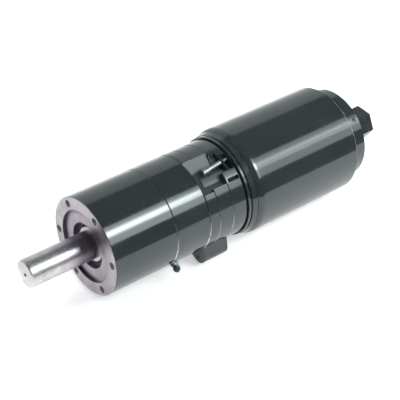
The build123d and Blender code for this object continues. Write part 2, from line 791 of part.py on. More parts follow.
save(turned([
    (input_seal_front_x, input_seal_r - fit),
    (input_seal_front_x, pinion_shaft_r + 1),
    (input_seal_front_x - 1.2, pinion_shaft_r + seal_play),
    (input_seal_front_x - 2, pinion_shaft_r + seal_play),
    (input_seal_rear_x, pinion_shaft_r + 1.4),
    (input_seal_rear_x, input_seal_r - fit),
]), "input_seal")

save(bearing_ring(pinion_bearing, pinion_bearing_x, inner=False), "pinion_bearing_outer_ring")
save(bearing_ring(pinion_bearing, pinion_bearing_x, inner=True), "pinion_bearing_inner_ring")
save(Compound(children=bearing_cage(pinion_bearing, pinion_bearing_x)), "pinion_bearing_ball_set")

# ---------------------------------------------------------------- coupling
coupling_r = 27.0
jaw_inner_r = 12.0
jaw_count = 3
jaw_half_angle = 22.0
spider_arm_half_angle = 30.0 - jaw_half_angle - 0.6
hub_length = 8.0
jaw_length = 7.0
gear_hub_front_x = -113.0
jaw_start_x = gear_hub_front_x - hub_length
jaw_end_x = jaw_start_x - jaw_length - 0.5
motor_hub_rear_x = jaw_end_x - hub_length
clamp_screw_r = 2.0
clamp_screw_length = 8.0


def coupling_hub(hub_front_x, hub_rear_x, jaw_front_x, jaw_rear_x, bore_r, first_jaw_angle, screw_x):
    """A coupling hub with three jaws, and a radial hole for its clamp screw."""
    body = ring(hub_front_x, hub_rear_x, bore_r + fit, coupling_r)
    centres = [first_jaw_angle + 360 / jaw_count * index for index in range(jaw_count)]
    jaws = [sector(jaw_front_x, jaw_rear_x, jaw_inner_r, coupling_r,
                   centre - jaw_half_angle, centre + jaw_half_angle) for centre in centres]
    with BuildPart() as hub:
        add(body)
        add(jaws)
        with BuildSketch(radial_plane(screw_x, 0, bore_r - 1)):
            Circle(clamp_screw_r + fit)
        extrude(amount=coupling_r, mode=Mode.SUBTRACT)
    return hub.part


gear_screw_x = gear_hub_front_x - hub_length / 2
motor_screw_x = motor_hub_rear_x + hub_length / 2
save(coupling_hub(gear_hub_front_x, jaw_start_x, jaw_start_x, jaw_start_x - jaw_length,
                  pinion_shaft_r, 0, gear_screw_x), "coupling_hub_gearbox")
save(coupling_hub(jaw_end_x, motor_hub_rear_x, jaw_end_x + jaw_length, jaw_end_x,
                  motor_shaft_r, 60, motor_screw_x), "coupling_hub_motor")

spider_arms = [sector(jaw_start_x - 0.5, jaw_end_x + 0.5, jaw_inner_r - 4, coupling_r - 0.5,
                      30 + 60 * index - spider_arm_half_angle, 30 + 60 * index + spider_arm_half_angle)
               for index in range(2 * jaw_count)]
spider_core = ring(jaw_start_x - 0.5, jaw_end_x + 0.5, 5.0, jaw_inner_r - 0.3)
with BuildPart() as coupling_spider:
    add(spider_core)
    add(spider_arms)
save(coupling_spider.part, "coupling_spider")

clamp_screws = []
for screw_x, bore_r in ((gear_screw_x, pinion_shaft_r), (motor_screw_x, motor_shaft_r)):
    seat = radial_plane(screw_x, 0, bore_r + 0.1 + clamp_screw_length)
    clamp_screws.append(seat.location * set_screw(clamp_screw_r, clamp_screw_length, 2))
save(Compound(children=clamp_screws), "coupling_clamp_screws")

# ---------------------------------------------------------------- motor housing
can_inner_r = can_r - can_wall
shield_inner_x = -158.0
shield_spigot_rear_x = -136.5
shield_ring_r = 46.8
shield_rear_r = 48.4
shield_section = turned([
    (shield_spigot_rear_x, coupling_r + 1.5),
    (shield_spigot_rear_x, adapter_bore_r - fit),
    (adapter_rear_x - 0.1, adapter_bore_r - fit),
    (adapter_rear_x - 0.1, casing_r - 1.6),
    (adapter_rear_x - 1.0, casing_r - 1.6),
    (adapter_rear_x - 1.0, shield_ring_r - 0.4),
    (adapter_rear_x - 1.4, shield_ring_r),
    (adapter_rear_x - 3.4, shield_ring_r),
    (adapter_rear_x - 3.8, shield_ring_r - 1.0),
    (adapter_rear_x - 4.4, shield_ring_r - 1.0),
    (adapter_rear_x - 4.8, shield_ring_r + 0.4),
    (can_front_x + 0.5, shield_rear_r),
    (can_front_x + 0.1, shield_rear_r - 0.4),
    (can_front_x + 0.1, can_inner_r - fit),
    (shield_inner_x, can_inner_r - fit),
    (shield_inner_x, motor_bearing[1]),
    (motor_front_bearing_x, motor_bearing[1]),
    (motor_front_bearing_x, motor_shaft_r + 4),
    (adapter_rear_x - 1.5, motor_shaft_r + 4),
    (adapter_rear_x - 1.5, coupling_r + 1.5),
])
with BuildPart() as motor_front_shield:
    add(shield_section)
    add(screw_holes, mode=Mode.SUBTRACT)
save(motor_front_shield.part, "motor_front_shield")

shoulder_top = (can_front_x - can_shoulder, can_r)
with BuildPart() as motor_can:
    with BuildSketch(Plane.XY):
        with BuildLine():
            Line((can_front_x, can_inner_r), (can_front_x, shield_rear_r))
            ThreePointArc((can_front_x, shield_rear_r), (can_front_x - 2.6, can_r - 0.7), shoulder_top)
            Line(shoulder_top, (can_rear_x + can_edge, can_r))
            Line((can_rear_x + can_edge, can_r), (can_rear_x, can_r - can_edge))
            Line((can_rear_x, can_r - can_edge), (can_rear_x, can_inner_r))
            Line((can_rear_x, can_inner_r), (can_front_x, can_inner_r))
        make_face()
    revolve(axis=Axis.X)
save(motor_can.part, "motor_can")

magnet_count = 4
magnet_half_angle = 36.0
magnets = [sector(rotor_front_x + 6, rotor_rear_x - 6, magnet_r, can_inner_r - fit,
                  centre - magnet_half_angle, centre + magnet_half_angle)
           for centre in [45 + 90 * index for index in range(magnet_count)]]
save(Compound(children=magnets), "motor_magnets")

# ---------------------------------------------------------------- rotor
rotor_r = magnet_r - airgap
slot_floor_r = 25.0
slot_top_r = 37.5
slot_width = 4.6
slot_mouth = 1.8
with BuildPart() as rotor_core:
    with BuildSketch(Plane.YZ.offset(rotor_rear_x)):
        Circle(rotor_r)
        Circle(motor_shaft_r + fit, mode=Mode.SUBTRACT)
        with PolarLocations((slot_floor_r + slot_top_r) / 2, slot_count):
            Rectangle(slot_top_r - slot_floor_r, slot_width, mode=Mode.SUBTRACT)
        with PolarLocations(rotor_r, slot_count):
            Rectangle(2 * (rotor_r - slot_top_r) + 1, slot_mouth, mode=Mode.SUBTRACT)
    extrude(amount=rotor_front_x - rotor_rear_x)
save(rotor_core.part, "rotor_core")

winding_overhang = 9.0
winding_play = 0.2
with BuildPart() as rotor_windings:
    for x_inner, x_outer in ((rotor_front_x, rotor_front_x + winding_overhang),
                             (rotor_rear_x, rotor_rear_x - winding_overhang)):
        x_middle = (x_inner + x_outer) / 2
        gap = winding_play if x_outer > x_inner else -winding_play
        with BuildSketch(Plane.XY):
            with Locations((x_middle + gap, (slot_floor_r + slot_top_r) / 2 - 3)):
                RectangleRounded(winding_overhang, slot_top_r - slot_floor_r + 6, 3)
        revolve(axis=Axis.X)
    with BuildSketch(Plane.YZ.offset(rotor_rear_x - 1)):
        with PolarLocations((slot_floor_r + slot_top_r) / 2, slot_count):
            Rectangle(slot_top_r - slot_floor_r - 2 * winding_play, slot_width - 2 * winding_play)
    extrude(amount=rotor_front_x - rotor_rear_x + 2)
save(rotor_windings.part, "rotor_windings")

commutator_r = 17.0
commutator_front_x = -245.0
commutator_rear_x = -261.0
segment_count = 28
with BuildPart() as commutator:
    with BuildSketch(Plane.YZ.offset(commutator_rear_x)):
        Circle(commutator_r)
        Circle(motor_shaft_r + fit, mode=Mode.SUBTRACT)
        with PolarLocations(commutator_r, segment_count):
            Rectangle(4, 0.6, mode=Mode.SUBTRACT)
    extrude(amount=commutator_front_x - commutator_rear_x)
save(commutator.part, "commutator")

motor_shaft_front_x = -130.0
motor_shaft_rear_x = -277.5
save(turned([
    (motor_shaft_front_x, 0),
    (motor_shaft_front_x, motor_shaft_r - 0.8),
    (motor_shaft_front_x - 0.8, motor_shaft_r),
    (motor_shaft_rear_x + 0.8, motor_shaft_r),
    (motor_shaft_rear_x, motor_shaft_r - 0.8),
    (motor_shaft_rear_x, 0),
]), "motor_shaft")

motor_fronts = (motor_front_bearing_x, motor_rear_bearing_x)
motor_outer = [bearing_ring(motor_bearing, x, inner=False) for x in motor_fronts]
motor_inner = [bearing_ring(motor_bearing, x, inner=True) for x in motor_fronts]
motor_balls = [piece for x in motor_fronts for piece in bearing_cage(motor_bearing, x)]
save(Compound(children=motor_outer), "motor_bearing_outer_rings")
save(Compound(children=motor_inner), "motor_bearing_inner_rings")
save(Compound(children=motor_balls), "motor_bearing_ball_sets")

# ---------------------------------------------------------------- brush gear
brush_x = -252.0
brush_size = 8.0
brush_inner_r = commutator_r + 0.3
brush_outer_r = 30.0
brush_angles = (90.0, 270.0)
holder_wall = 1.2
holder_play = 0.15
holder_front_x = -258.6
holder_rear_x = -261.9
holder_box = brush_size / 2 + holder_play + holder_wall
plate_distance = brush_x - holder_front_x
holder_plate = ring(holder_front_x, holder_rear_x, commutator_r + 3, can_inner_r - 0.6)
holder_boxes = []
holder_holes = []
brushes = []
for angle in brush_angles:
    plane = radial_plane(brush_x, angle, commutator_r + 3)
    with BuildPart() as box:
        with BuildSketch(plane):
            with Locations(((holder_box - plate_distance) / 2, 0)):
                Rectangle(holder_box + plate_distance, 2 * holder_box)
        extrude(amount=can_inner_r - commutator_r - 7)
    holder_boxes.append(box.part)
    with BuildPart() as hole:
        with BuildSketch(plane.offset(-1)):
            Rectangle(brush_size + 2 * holder_play, brush_size + 2 * holder_play)
        extrude(amount=can_inner_r - commutator_r - 7.2)
    holder_holes.append(hole.part)
    with BuildPart() as brush:
        with BuildSketch(radial_plane(brush_x, angle, brush_inner_r)):
            Rectangle(brush_size, brush_size)
        extrude(amount=brush_outer_r - brush_inner_r)
    brushes.append(brush.part)
with BuildPart() as brush_holder:
    add(holder_plate)
    add(holder_boxes)
    add(holder_holes, mode=Mode.SUBTRACT)
save(brush_holder.part, "brush_holder")
save(Compound(children=brushes), "carbon_brushes")

spring_r = 2.6
wire_r = 0.4
spring_length = 9.0
spring_pitch = 1.8
with BuildPart() as spring:
    with BuildLine():
        Helix(pitch=spring_pitch, height=spring_length, radius=spring_r)
    with BuildSketch(Plane(origin=(spring_r, 0, 0), z_dir=(0, 1, 0))):
        Circle(wire_r)
    sweep(is_frenet=True)
springs = [radial_plane(brush_x, angle, brush_outer_r + wire_r + 0.1).location * spring.part
           for angle in brush_angles]
save(Compound(children=springs), "brush_springs")

# ---------------------------------------------------------------- motor rear end
rear_flange_front_x = -262.1
hub_r = 38.0
hub_wall_r = 32.0
hub_rear_x = -283.6
rear_web_x = -270.5
bearing_hub_r = 24.5
bearing_hub_rear_x = -279.5
rear_section = turned([
    (rear_flange_front_x, motor_bearing[1]),
    (rear_flange_front_x, can_inner_r - fit),
    (can_rear_x, can_inner_r - fit),
    (can_rear_x, hub_r),
    (hub_rear_x, hub_r),
    (hub_rear_x, hub_wall_r),
    (rear_web_x, hub_wall_r),
    (rear_web_x, bearing_hub_r),
    (bearing_hub_rear_x, bearing_hub_r),
    (bearing_hub_rear_x, motor_shaft_r + 4),
    (motor_rear_bearing_x - motor_bearing[2], motor_shaft_r + 4),
    (motor_rear_bearing_x - motor_bearing[2], motor_bearing[1]),
])
cap_screw_count = 3
cap_screw_r = 2.5
cap_screw_angles = [cap_screw_angle + 360 / cap_screw_count * index for index in range(cap_screw_count)]
cap_screw_holes = []
for angle in cap_screw_angles:
    with BuildPart() as hole:
        with BuildSketch(radial_plane(cap_screw_x, angle, hub_wall_r + 1)):
            Circle(cap_screw_r + fit)
        extrude(amount=cap_r)
    cap_screw_holes.append(hole.part)
with BuildPart() as motor_rear_shield:
    add(rear_section)
    add(cap_screw_holes, mode=Mode.SUBTRACT)
save(motor_rear_shield.part, "motor_rear_shield")

cap_wall_x = -284.0
gland_thread_r = 10.0
cap_fillet = 1.2
with BuildPart() as rear_cap:
    with BuildSketch(Plane.YZ.offset(cap_rear_x)):
        Circle(cap_r)
    extrude(amount=can_rear_x - 0.1 - cap_rear_x)
    chamfer(rear_cap.faces().sort_by(Axis.X)[0].edges(), cap_fillet)
    with BuildSketch(Plane.YZ.offset(cap_wall_x)):
        Circle(hub_r + 0.1)
    extrude(amount=can_rear_x - cap_wall_x, mode=Mode.SUBTRACT)
    with BuildSketch(Plane.YZ.offset(cap_rear_x)):
        with Locations(on_face(gland_orbit_r, gland_angle)):
            Circle(gland_thread_r)
    extrude(amount=cap_wall_x - cap_rear_x, mode=Mode.SUBTRACT)
    add(cap_screw_holes, mode=Mode.SUBTRACT)
save(rear_cap.part, "rear_cap")

cap_screws = []
for angle in cap_screw_angles:
    seat = radial_plane(cap_screw_x, angle, cap_r - 0.4)
    cap_screws.append(seat.location * set_screw(cap_screw_r, 8, 2.5))
save(Compound(children=cap_screws), "rear_cap_screws")

gland_y, gland_z = on_face(gland_orbit_r, gland_angle)
gland_plane = Plane(origin=(cap_rear_x, gland_y, gland_z), x_dir=(0, 1, 0), z_dir=(-1, 0, 0))
gland_height = cap_rear_x - gland_rear_x
gland_hole_r = 6.5
with BuildPart() as cable_gland:
    with BuildSketch(gland_plane):
        with Locations(Location((0, 0), -gland_vertex_angle)):
            RegularPolygon(gland_flats / 2, 6, major_radius=False)
    extrude(amount=gland_height)
    with BuildSketch(gland_plane):
        Circle(gland_thread_r - fit)
    extrude(amount=cap_rear_x - cap_wall_x)
    with BuildSketch(gland_plane.offset(-5)):
        Circle(gland_hole_r)
    extrude(amount=gland_height + 10, mode=Mode.SUBTRACT)
save(cable_gland.part, "cable_gland")
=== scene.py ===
import json
import math

import bpy
from mathutils import Matrix, Vector


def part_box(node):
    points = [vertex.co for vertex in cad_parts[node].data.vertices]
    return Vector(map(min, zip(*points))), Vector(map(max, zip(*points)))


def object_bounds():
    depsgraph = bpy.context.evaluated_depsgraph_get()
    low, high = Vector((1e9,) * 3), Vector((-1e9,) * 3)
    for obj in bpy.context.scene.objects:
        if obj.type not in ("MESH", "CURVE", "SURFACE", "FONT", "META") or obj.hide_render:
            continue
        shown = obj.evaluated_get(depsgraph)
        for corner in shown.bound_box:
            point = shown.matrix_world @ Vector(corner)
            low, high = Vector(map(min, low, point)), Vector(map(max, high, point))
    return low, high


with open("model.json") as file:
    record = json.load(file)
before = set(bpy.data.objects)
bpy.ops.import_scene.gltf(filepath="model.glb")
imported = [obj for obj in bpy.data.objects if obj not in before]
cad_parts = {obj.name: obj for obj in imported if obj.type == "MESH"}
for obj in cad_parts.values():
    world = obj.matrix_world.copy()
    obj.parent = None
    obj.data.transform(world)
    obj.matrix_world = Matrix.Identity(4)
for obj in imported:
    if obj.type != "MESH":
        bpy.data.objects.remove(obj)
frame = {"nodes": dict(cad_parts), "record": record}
cad_low, cad_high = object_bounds()
NODES = frame["nodes"]
MM = 0.001


# ---------------------------------------------------------------- node helpers
class Tree:
    """A small builder for one material's nodes."""

    def __init__(self, name):
        self.mat = bpy.data.materials.new(name)
        self.mat.use_nodes = True
        self.tree = self.mat.node_tree
        self.tree.nodes.clear()
        self.out = self.node("ShaderNodeOutputMaterial")
        self.shader = self.node("ShaderNodeBsdfPrincipled")
        self.link(self.shader.outputs["BSDF"], self.out.inputs["Surface"])
        self.coords = self.node("ShaderNodeTexCoord").outputs["Object"]
        self._split = None

    def node(self, kind, **settings):
        made = self.tree.nodes.new(kind)
        for key, value in settings.items():
            setattr(made, key, value)
        return made

    def link(self, a, b):
        self.tree.links.new(a, b)

    def feed(self, socket, value):
        """Links an output into a socket, or sets a plain number or colour on it."""
        if isinstance(value, bpy.types.NodeSocket):
            self.link(value, socket)
        else:
            socket.default_value = value

    def math(self, operation, a, b=0.0):
        made = self.node("ShaderNodeMath", operation=operation)
        self.feed(made.inputs[0], a)
        self.feed(made.inputs[1], b)
        return made.outputs[0]

    def product(self, first, *others):
        """All the factors multiplied together."""
        for factor in others:
            first = self.math("MULTIPLY", first, factor)
        return first

    def axes(self):
        """The x, y and z of the point in its own object's frame, in metres."""
        if self._split is None:
            split = self.node("ShaderNodeSeparateXYZ")
            self.link(self.coords, split.inputs[0])
            self._split = split.outputs
        return self._split

    def radius(self):
        """The distance from the shaft axis, which is X."""
        x, y, z = self.axes()
        return self.math("SQRT", self.math("ADD", self.product(y, y), self.product(z, z)))

    def noise(self, scale, detail=2.0, roughness=0.5, w=None):
        """A noise value round 0.5. With w it is a one-dimensional noise of that value in metres."""
        made = self.node("ShaderNodeTexNoise", noise_dimensions="3D" if w is None else "1D")
        if w is None:
            self.link(self.coords, made.inputs["Vector"])
        else:
            self.link(w, made.inputs["W"])
        made.inputs["Scale"].default_value = scale
        made.inputs["Detail"].default_value = detail
        made.inputs["Roughness"].default_value = roughness
        return made.outputs[0]

    def ramp(self, value, low, high, out_low=0.0, out_high=1.0, smooth=False):
        """value mapped from low..high to out_low..out_high, and clamped there."""
        made = self.node("ShaderNodeMapRange", clamp=True)
        if smooth:
            made.interpolation_type = "SMOOTHSTEP"
        self.feed(made.inputs["Value"], value)
        made.inputs["From Min"].default_value = low
        made.inputs["From Max"].default_value = high
        made.inputs["To Min"].default_value = out_low
        made.inputs["To Max"].default_value = out_high
        return made.outputs[0]

    def above(self, value, edge, fade):
        """1 where the value is over the edge, and 0 from a distance of fade below it."""
        return self.ramp(value, edge - fade, edge)

    def below(self, value, edge, fade):
        """1 where the value is under the edge, and 0 from a distance of fade above it."""
        return self.ramp(value, edge, edge + fade, 1.0, 0.0)

    def mix(self, share, a, b):
        """A colour between a and b."""
        made = self.node("ShaderNodeMix", data_type="RGBA")
        self.feed(made.inputs["Factor"], share)
        self.feed(made.inputs["A"], a)
        self.feed(made.inputs["B"], b)
        return made.outputs["Result"]

    def blend(self, share, a, b):
        """A number between a and b."""
        made = self.node("ShaderNodeMix", data_type="FLOAT")
        self.feed(made.inputs["Factor"], share)
        self.feed(made.inputs["A"], a)
        self.feed(made.inputs["B"], b)
        return made.outputs["Result"]

    def bump(self, height, distance, strength, under=None):
        """A bump of that depth in metres, laid over the bump under it when there is one."""
        made = self.node("ShaderNodeBump")
        made.inputs["Strength"].default_value = strength
        made.inputs["Distance"].default_value = distance
        self.link(height, made.inputs["Height"])
        if under is not None:
            self.link(under, made.inputs["Normal"])
        return made.outputs["Normal"]

    def set(self, **values):
        """Sets or links the shader's sockets, by the short names given here."""
        names = {"color": "Base Color", "metallic": "Metallic", "roughness": "Roughness", "ior": "IOR",
                 "normal": "Normal", "specular": "Specular IOR Level", "specular_tint": "Specular Tint",
                 "glow": "Emission Color", "glow_strength": "Emission Strength"}
        for key, value in values.items():
            self.feed(self.shader.inputs[names[key]], value)


def rgb(r, g, b):
    return (r, g, b, 1.0)


# ---------------------------------------------------------------- materials
def edge_x(node, end):
    low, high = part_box(node)
    return high.x if end == "front" else low.x


# places along the axis, and radii, read from the frame
housing_front = edge_x("output_housing", "front")
housing_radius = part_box("output_housing")[1].y
joint_1 = edge_x("output_housing", "rear")
joint_2 = edge_x("ring_gear_casing", "rear")
adapter_rear = edge_x("adapter", "rear")
can_rear = edge_x("motor_can", "rear")
can_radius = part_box("motor_can")[1].y

# the two grooves round the adapter, measured back from its front joint
FIRST_GROOVE = joint_2 - 10.9 * MM
SECOND_GROOVE = joint_2 - 25.9 * MM
# the narrow slot in a pocket's lower wall: how far it reaches forwards, and a radius just under its floor
WALL_SLOT_LENGTH = 13.3 * MM
UNDER_WALL_SLOT = 41.5 * MM
# the housing's face: radii just outside its recess and just inside its bolt holes, the radii
# between which the recess gets darker, and the depth at which a bolt hole's wall starts
RECESS_EDGE = 33.2 * MM
BOLT_HOLES_FROM = 34.7 * MM
SHADE_FROM, SHADE_FULL = 27.5 * MM, 32.0 * MM
BOLT_HOLE_MOUTH = 0.3 * MM
# the output shaft gets a painted shade, darker and purple, up to the first x by the housing face, and none
# from the second
SHADED_TO, UNSHADED_FROM = 8 * MM, 40 * MM

PAINT_DARK = rgb(0.0115, 0.0165, 0.0165)
PAINT_LIGHT = rgb(0.017, 0.0235, 0.0235)
PAINT_DUST = rgb(0.16, 0.17, 0.165)
PAINT_SHEEN = rgb(0.955, 0.995, 1.0)
PAINT_IOR = 1.6
POCKET_PAINT = rgb(0.022, 0.028, 0.0285)
# the floors of the wall slots: a darker colour and almost no reflection, a painted shade
SLOT_SHADE_COLOR = rgb(0.018, 0.023, 0.023)
SLOT_SHADE_IOR = 1.08
BARE_DARK = rgb(0.27, 0.23, 0.25)
BARE_LIGHT = rgb(0.43, 0.395, 0.41)
BARE_RING = rgb(0.46, 0.43, 0.45)
# a near-white colour for the edge bands: partly worn paint, partly a painted highlight
WORN_EDGE_HIGHLIGHT = rgb(0.85, 0.85, 0.84)
# a darker purple for the recess: painted shade
RECESS_SHADE_TINT = rgb(0.25, 0.21, 0.25)
RECESS_SHADE = rgb(0.13, 0.095, 0.14)
HOLE_TINT = rgb(0.42, 0.36, 0.39)


class Paint:
    """Gloss black paint with a fine orange peel and faint dust, and bright edge bands, partly bare metal
    where it is worn off and partly a painted highlight.
    """

    def __init__(self, name):
        t = Tree(name)
        self.t = t
        peel = t.noise(620.0, 2.0, 0.6)
        cloud = t.noise(38.0, 4.0, 0.6)
        specks = t.ramp(t.noise(1500.0, 2.0, 0.6), 0.70, 0.78)
        base = t.mix(t.ramp(cloud, 0.3, 0.7), PAINT_DARK, PAINT_LIGHT)
        self.color = t.mix(t.product(specks, 0.22), base, PAINT_DUST)
        self.roughness = t.ramp(cloud, 0.3, 0.75, 0.085, 0.15)
        self.normal = t.bump(peel, 0.00002, 0.5)
        self.ior = PAINT_IOR
        self.rho = t.radius()

    def dull_and_shade_inside(self, radius):
        """Dulls the paint of the pockets, which lie inside the radius, and paints shade on the floors of the
        wall slots: a darker colour with almost no reflection.
        """
        t = self.t
        x = t.axes()[0]
        deep = t.below(self.rho, radius - 0.1 * MM, 0.1 * MM)
        self.color = t.mix(deep, self.color, POCKET_PAINT)
        self.roughness = t.blend(deep, self.roughness, 0.42)
        # painted shade on the wall slots' floors: darker colour, almost no reflection
        slot = t.product(t.below(x, adapter_rear + WALL_SLOT_LENGTH, 0.2 * MM),
                         t.below(self.rho, radius - 0.2 * MM, 0.2 * MM),
                         t.above(self.rho, UNDER_WALL_SLOT, 0.5 * MM))
        self.color = t.mix(slot, self.color, SLOT_SHADE_COLOR)
        self.ior = t.blend(slot, PAINT_IOR, SLOT_SHADE_IOR)

    def worn_highlight_bands(self, bands, rim, highlit_below=None):
        """The share of bare metal and painted highlight in bands of x = (low, high, amount), on a rim of the
        radius rim.

        With a height given, the bands fade out above it, so they stay on the lower side, where the chamfers
        catch the light.
        """
        t = self.t
        x, y, z = t.axes()
        worn = t.noise(260.0, 3.0, 0.65)
        bare = None
        for low, high, amount in bands:
            band = t.product(t.above(x, low, 0.05 * MM), t.below(x, high, 0.05 * MM),
                             t.ramp(worn, 0.34, 0.5, 0.35 * amount, amount))
            if highlit_below is not None:
                band = t.product(band, t.ramp(z, highlit_below - 12 * MM, highlit_below + 8 * MM, 1.0, 0.0))
            bare = band if bare is None else t.math("MAXIMUM", bare, band)
        return t.product(bare, t.above(self.rho, rim - 0.85 * MM, 0.1 * MM),
                         t.below(self.rho, rim + 0.05 * MM, 0.05 * MM))

    def bare_tint(self, rings):
        """The colour of bare metal, cloudy and finely ringed."""
        t = self.t
        patches = t.noise(90.0, 4.0, 0.62)
        tint = t.mix(t.ramp(patches, 0.34, 0.68), BARE_DARK, BARE_LIGHT)
        return t.mix(t.ramp(rings, 0.35, 0.7, 0.0, 0.3), tint, BARE_RING)

    def turning_rings(self):
        return self.t.noise(9000.0, 2.0, 0.6, w=self.rho)

    def close(self, bare=None, tint=None, metallic=0.0, rings=None):
        """Joins paint with bare metal and the painted highlight bands, sets the shader and gives the finished
        material.
        """
        t = self.t
        t.set(specular_tint=PAINT_SHEEN, ior=self.ior, metallic=metallic)
        if bare is None:
            t.set(color=self.color, roughness=self.roughness, normal=self.normal)
            return t.mat
        t.set(color=t.mix(bare, self.color, tint),
              roughness=t.blend(bare, self.roughness, t.ramp(rings, 0.3, 0.7, 0.30, 0.42)),
              normal=t.bump(t.product(rings, bare), 0.00001, 0.5, under=self.normal))
        return t.mat


def gloss_paint(name):
    return Paint(name).close()


def worn_paint_with_highlights(name, bands, rim, highlit_below=None, dull_and_shade_inside=None, metal_share=1.0):
    """Gloss paint with bright bands, partly where it is worn through and partly a painted highlight on the
    lit edges.
    """
    paint = Paint(name)
    if dull_and_shade_inside is not None:
        paint.dull_and_shade_inside(dull_and_shade_inside)
    # the bright bands: partly bare metal, partly a painted highlight where the chamfers catch the light
    bare = paint.worn_highlight_bands(bands, rim, highlit_below)
    rings = paint.turning_rings()
    # the bands' colour, mostly near-white: painted highlight over the bare metal
    tint = paint.t.mix(0.85, paint.bare_tint(rings), WORN_EDGE_HIGHLIGHT)
    return paint.close(bare, tint, paint.t.product(bare, metal_share), rings)


def machined_housing(name):
    """Gloss paint round the housing, with its face and its insides machined bare."""
    paint = Paint(name)
    t, rho = paint.t, paint.rho
    x, y, z = t.axes()
    behind = housing_front - 0.3 * MM
    inside = t.below(rho, housing_radius - 0.55 * MM, 0.05 * MM)
    bare = t.math("MAXIMUM", inside, t.above(x, behind, 0.05 * MM))
    rings = paint.turning_rings()
    shade = t.product(t.ramp(rho, SHADE_FROM, SHADE_FULL, smooth=True), t.below(rho, RECESS_EDGE, 0.2 * MM),
                      t.ramp(y, 4 * MM, 18 * MM, 1.0, 0.25, smooth=True))
    # the recess is mixed half way to a darker purple: painted shade
    recess = t.ramp(rho, RECESS_EDGE - 0.4 * MM, RECESS_EDGE + 0.2 * MM, 0.5, 0.0)
    tint = t.mix(recess, paint.bare_tint(rings), RECESS_SHADE_TINT)
    tint = t.mix(t.product(shade, 0.8), tint, RECESS_SHADE)
    bolt_holes = t.product(t.below(x, behind - BOLT_HOLE_MOUTH, 0.1 * MM),
                           t.above(rho, BOLT_HOLES_FROM, 0.1 * MM))
    tint = t.mix(bolt_holes, tint, HOLE_TINT)
    metallic = t.product(bare, t.math("SUBTRACT", 1.0, bolt_holes))
    return paint.close(bare, tint, metallic, rings)


def turned_steel(name, dark, rough=(0.2, 0.32), line_scale=6000.0, depth=0.000006):
    """Metal with fine turning lines round the shaft axis."""
    t = Tree(name)
    x = t.axes()[0]
    lines = t.noise(line_scale, 2.0, 0.6, w=x)
    rings = t.noise(line_scale, 2.0, 0.6, w=t.radius())
    grain = t.product(t.math("ADD", lines, rings), 0.5)
    patches = t.noise(120.0, 4.0, 0.62)
    light = rgb(*(1.22 * c for c in dark[:3]))
    t.set(color=t.mix(t.ramp(patches, 0.35, 0.68), dark, light), metallic=1.0,
          roughness=t.ramp(t.math("ADD", grain, t.product(patches, 0.4)), 0.5, 0.9, *rough),
          normal=t.bump(grain, depth, 0.6))
    return t.mat


def plain_metal(name, dark, light, rough, metallic=1.0):
    """Metal with a fine grain that runs no particular way."""
    t = Tree(name)
    grain = t.noise(2400.0, 3.0, 0.6)
    patches = t.noise(300.0, 4.0, 0.6)
    t.set(color=t.mix(t.ramp(patches, 0.35, 0.68), dark, light), metallic=metallic,
          roughness=t.ramp(patches, 0.3, 0.7, *rough), normal=t.bump(grain, 0.00001, 0.4))
    return t.mat


def soft_solid(name, dark, light, rough):
    """Rubber, moulded plastic, carbon or ferrite: matt, with a fine grain."""
    t = Tree(name)
    grain = t.noise(2500.0, 3.0, 0.65)
    patches = t.noise(150.0, 4.0, 0.6)
    t.set(color=t.mix(t.ramp(patches, 0.32, 0.7), dark, light), metallic=0.0,
          roughness=t.ramp(patches, 0.3, 0.7, *rough), normal=t.bump(grain, 0.00002, 0.5))
    return t.mat


def keyed_shaft(name):
    """The output shaft: bright turned steel at its end, with a painted shade, darker and purple, towards the
    seal.
    """
    t = Tree(name)
    x = t.axes()[0]
    lines = t.noise(5200.0, 3.0, 0.65, w=x)
    marks = t.noise(700.0, 4.0, 0.7)
    patches = t.noise(95.0, 4.0, 0.62)
    unshaded_steel = t.mix(t.ramp(patches, 0.34, 0.66), rgb(0.44, 0.43, 0.43), rgb(0.62, 0.62, 0.61))
    # a darker purple copy of the steel: painted shade near the housing face
    shaded_steel = t.mix(t.ramp(patches, 0.34, 0.66), rgb(0.33, 0.29, 0.35), rgb(0.42, 0.375, 0.435))
    color = t.mix(t.ramp(x, SHADED_TO, UNSHADED_FROM, smooth=True), shaded_steel, unshaded_steel)
    color = t.mix(t.ramp(marks, 0.36, 0.5, 0.35, 0.0), color, rgb(0.22, 0.20, 0.21))
    t.set(color=color, metallic=1.0, roughness=t.ramp(t.math("ADD", lines, marks), 0.7, 1.3, 0.27, 0.42),
          normal=t.bump(lines, 0.000008, 0.6))
    return t.mat


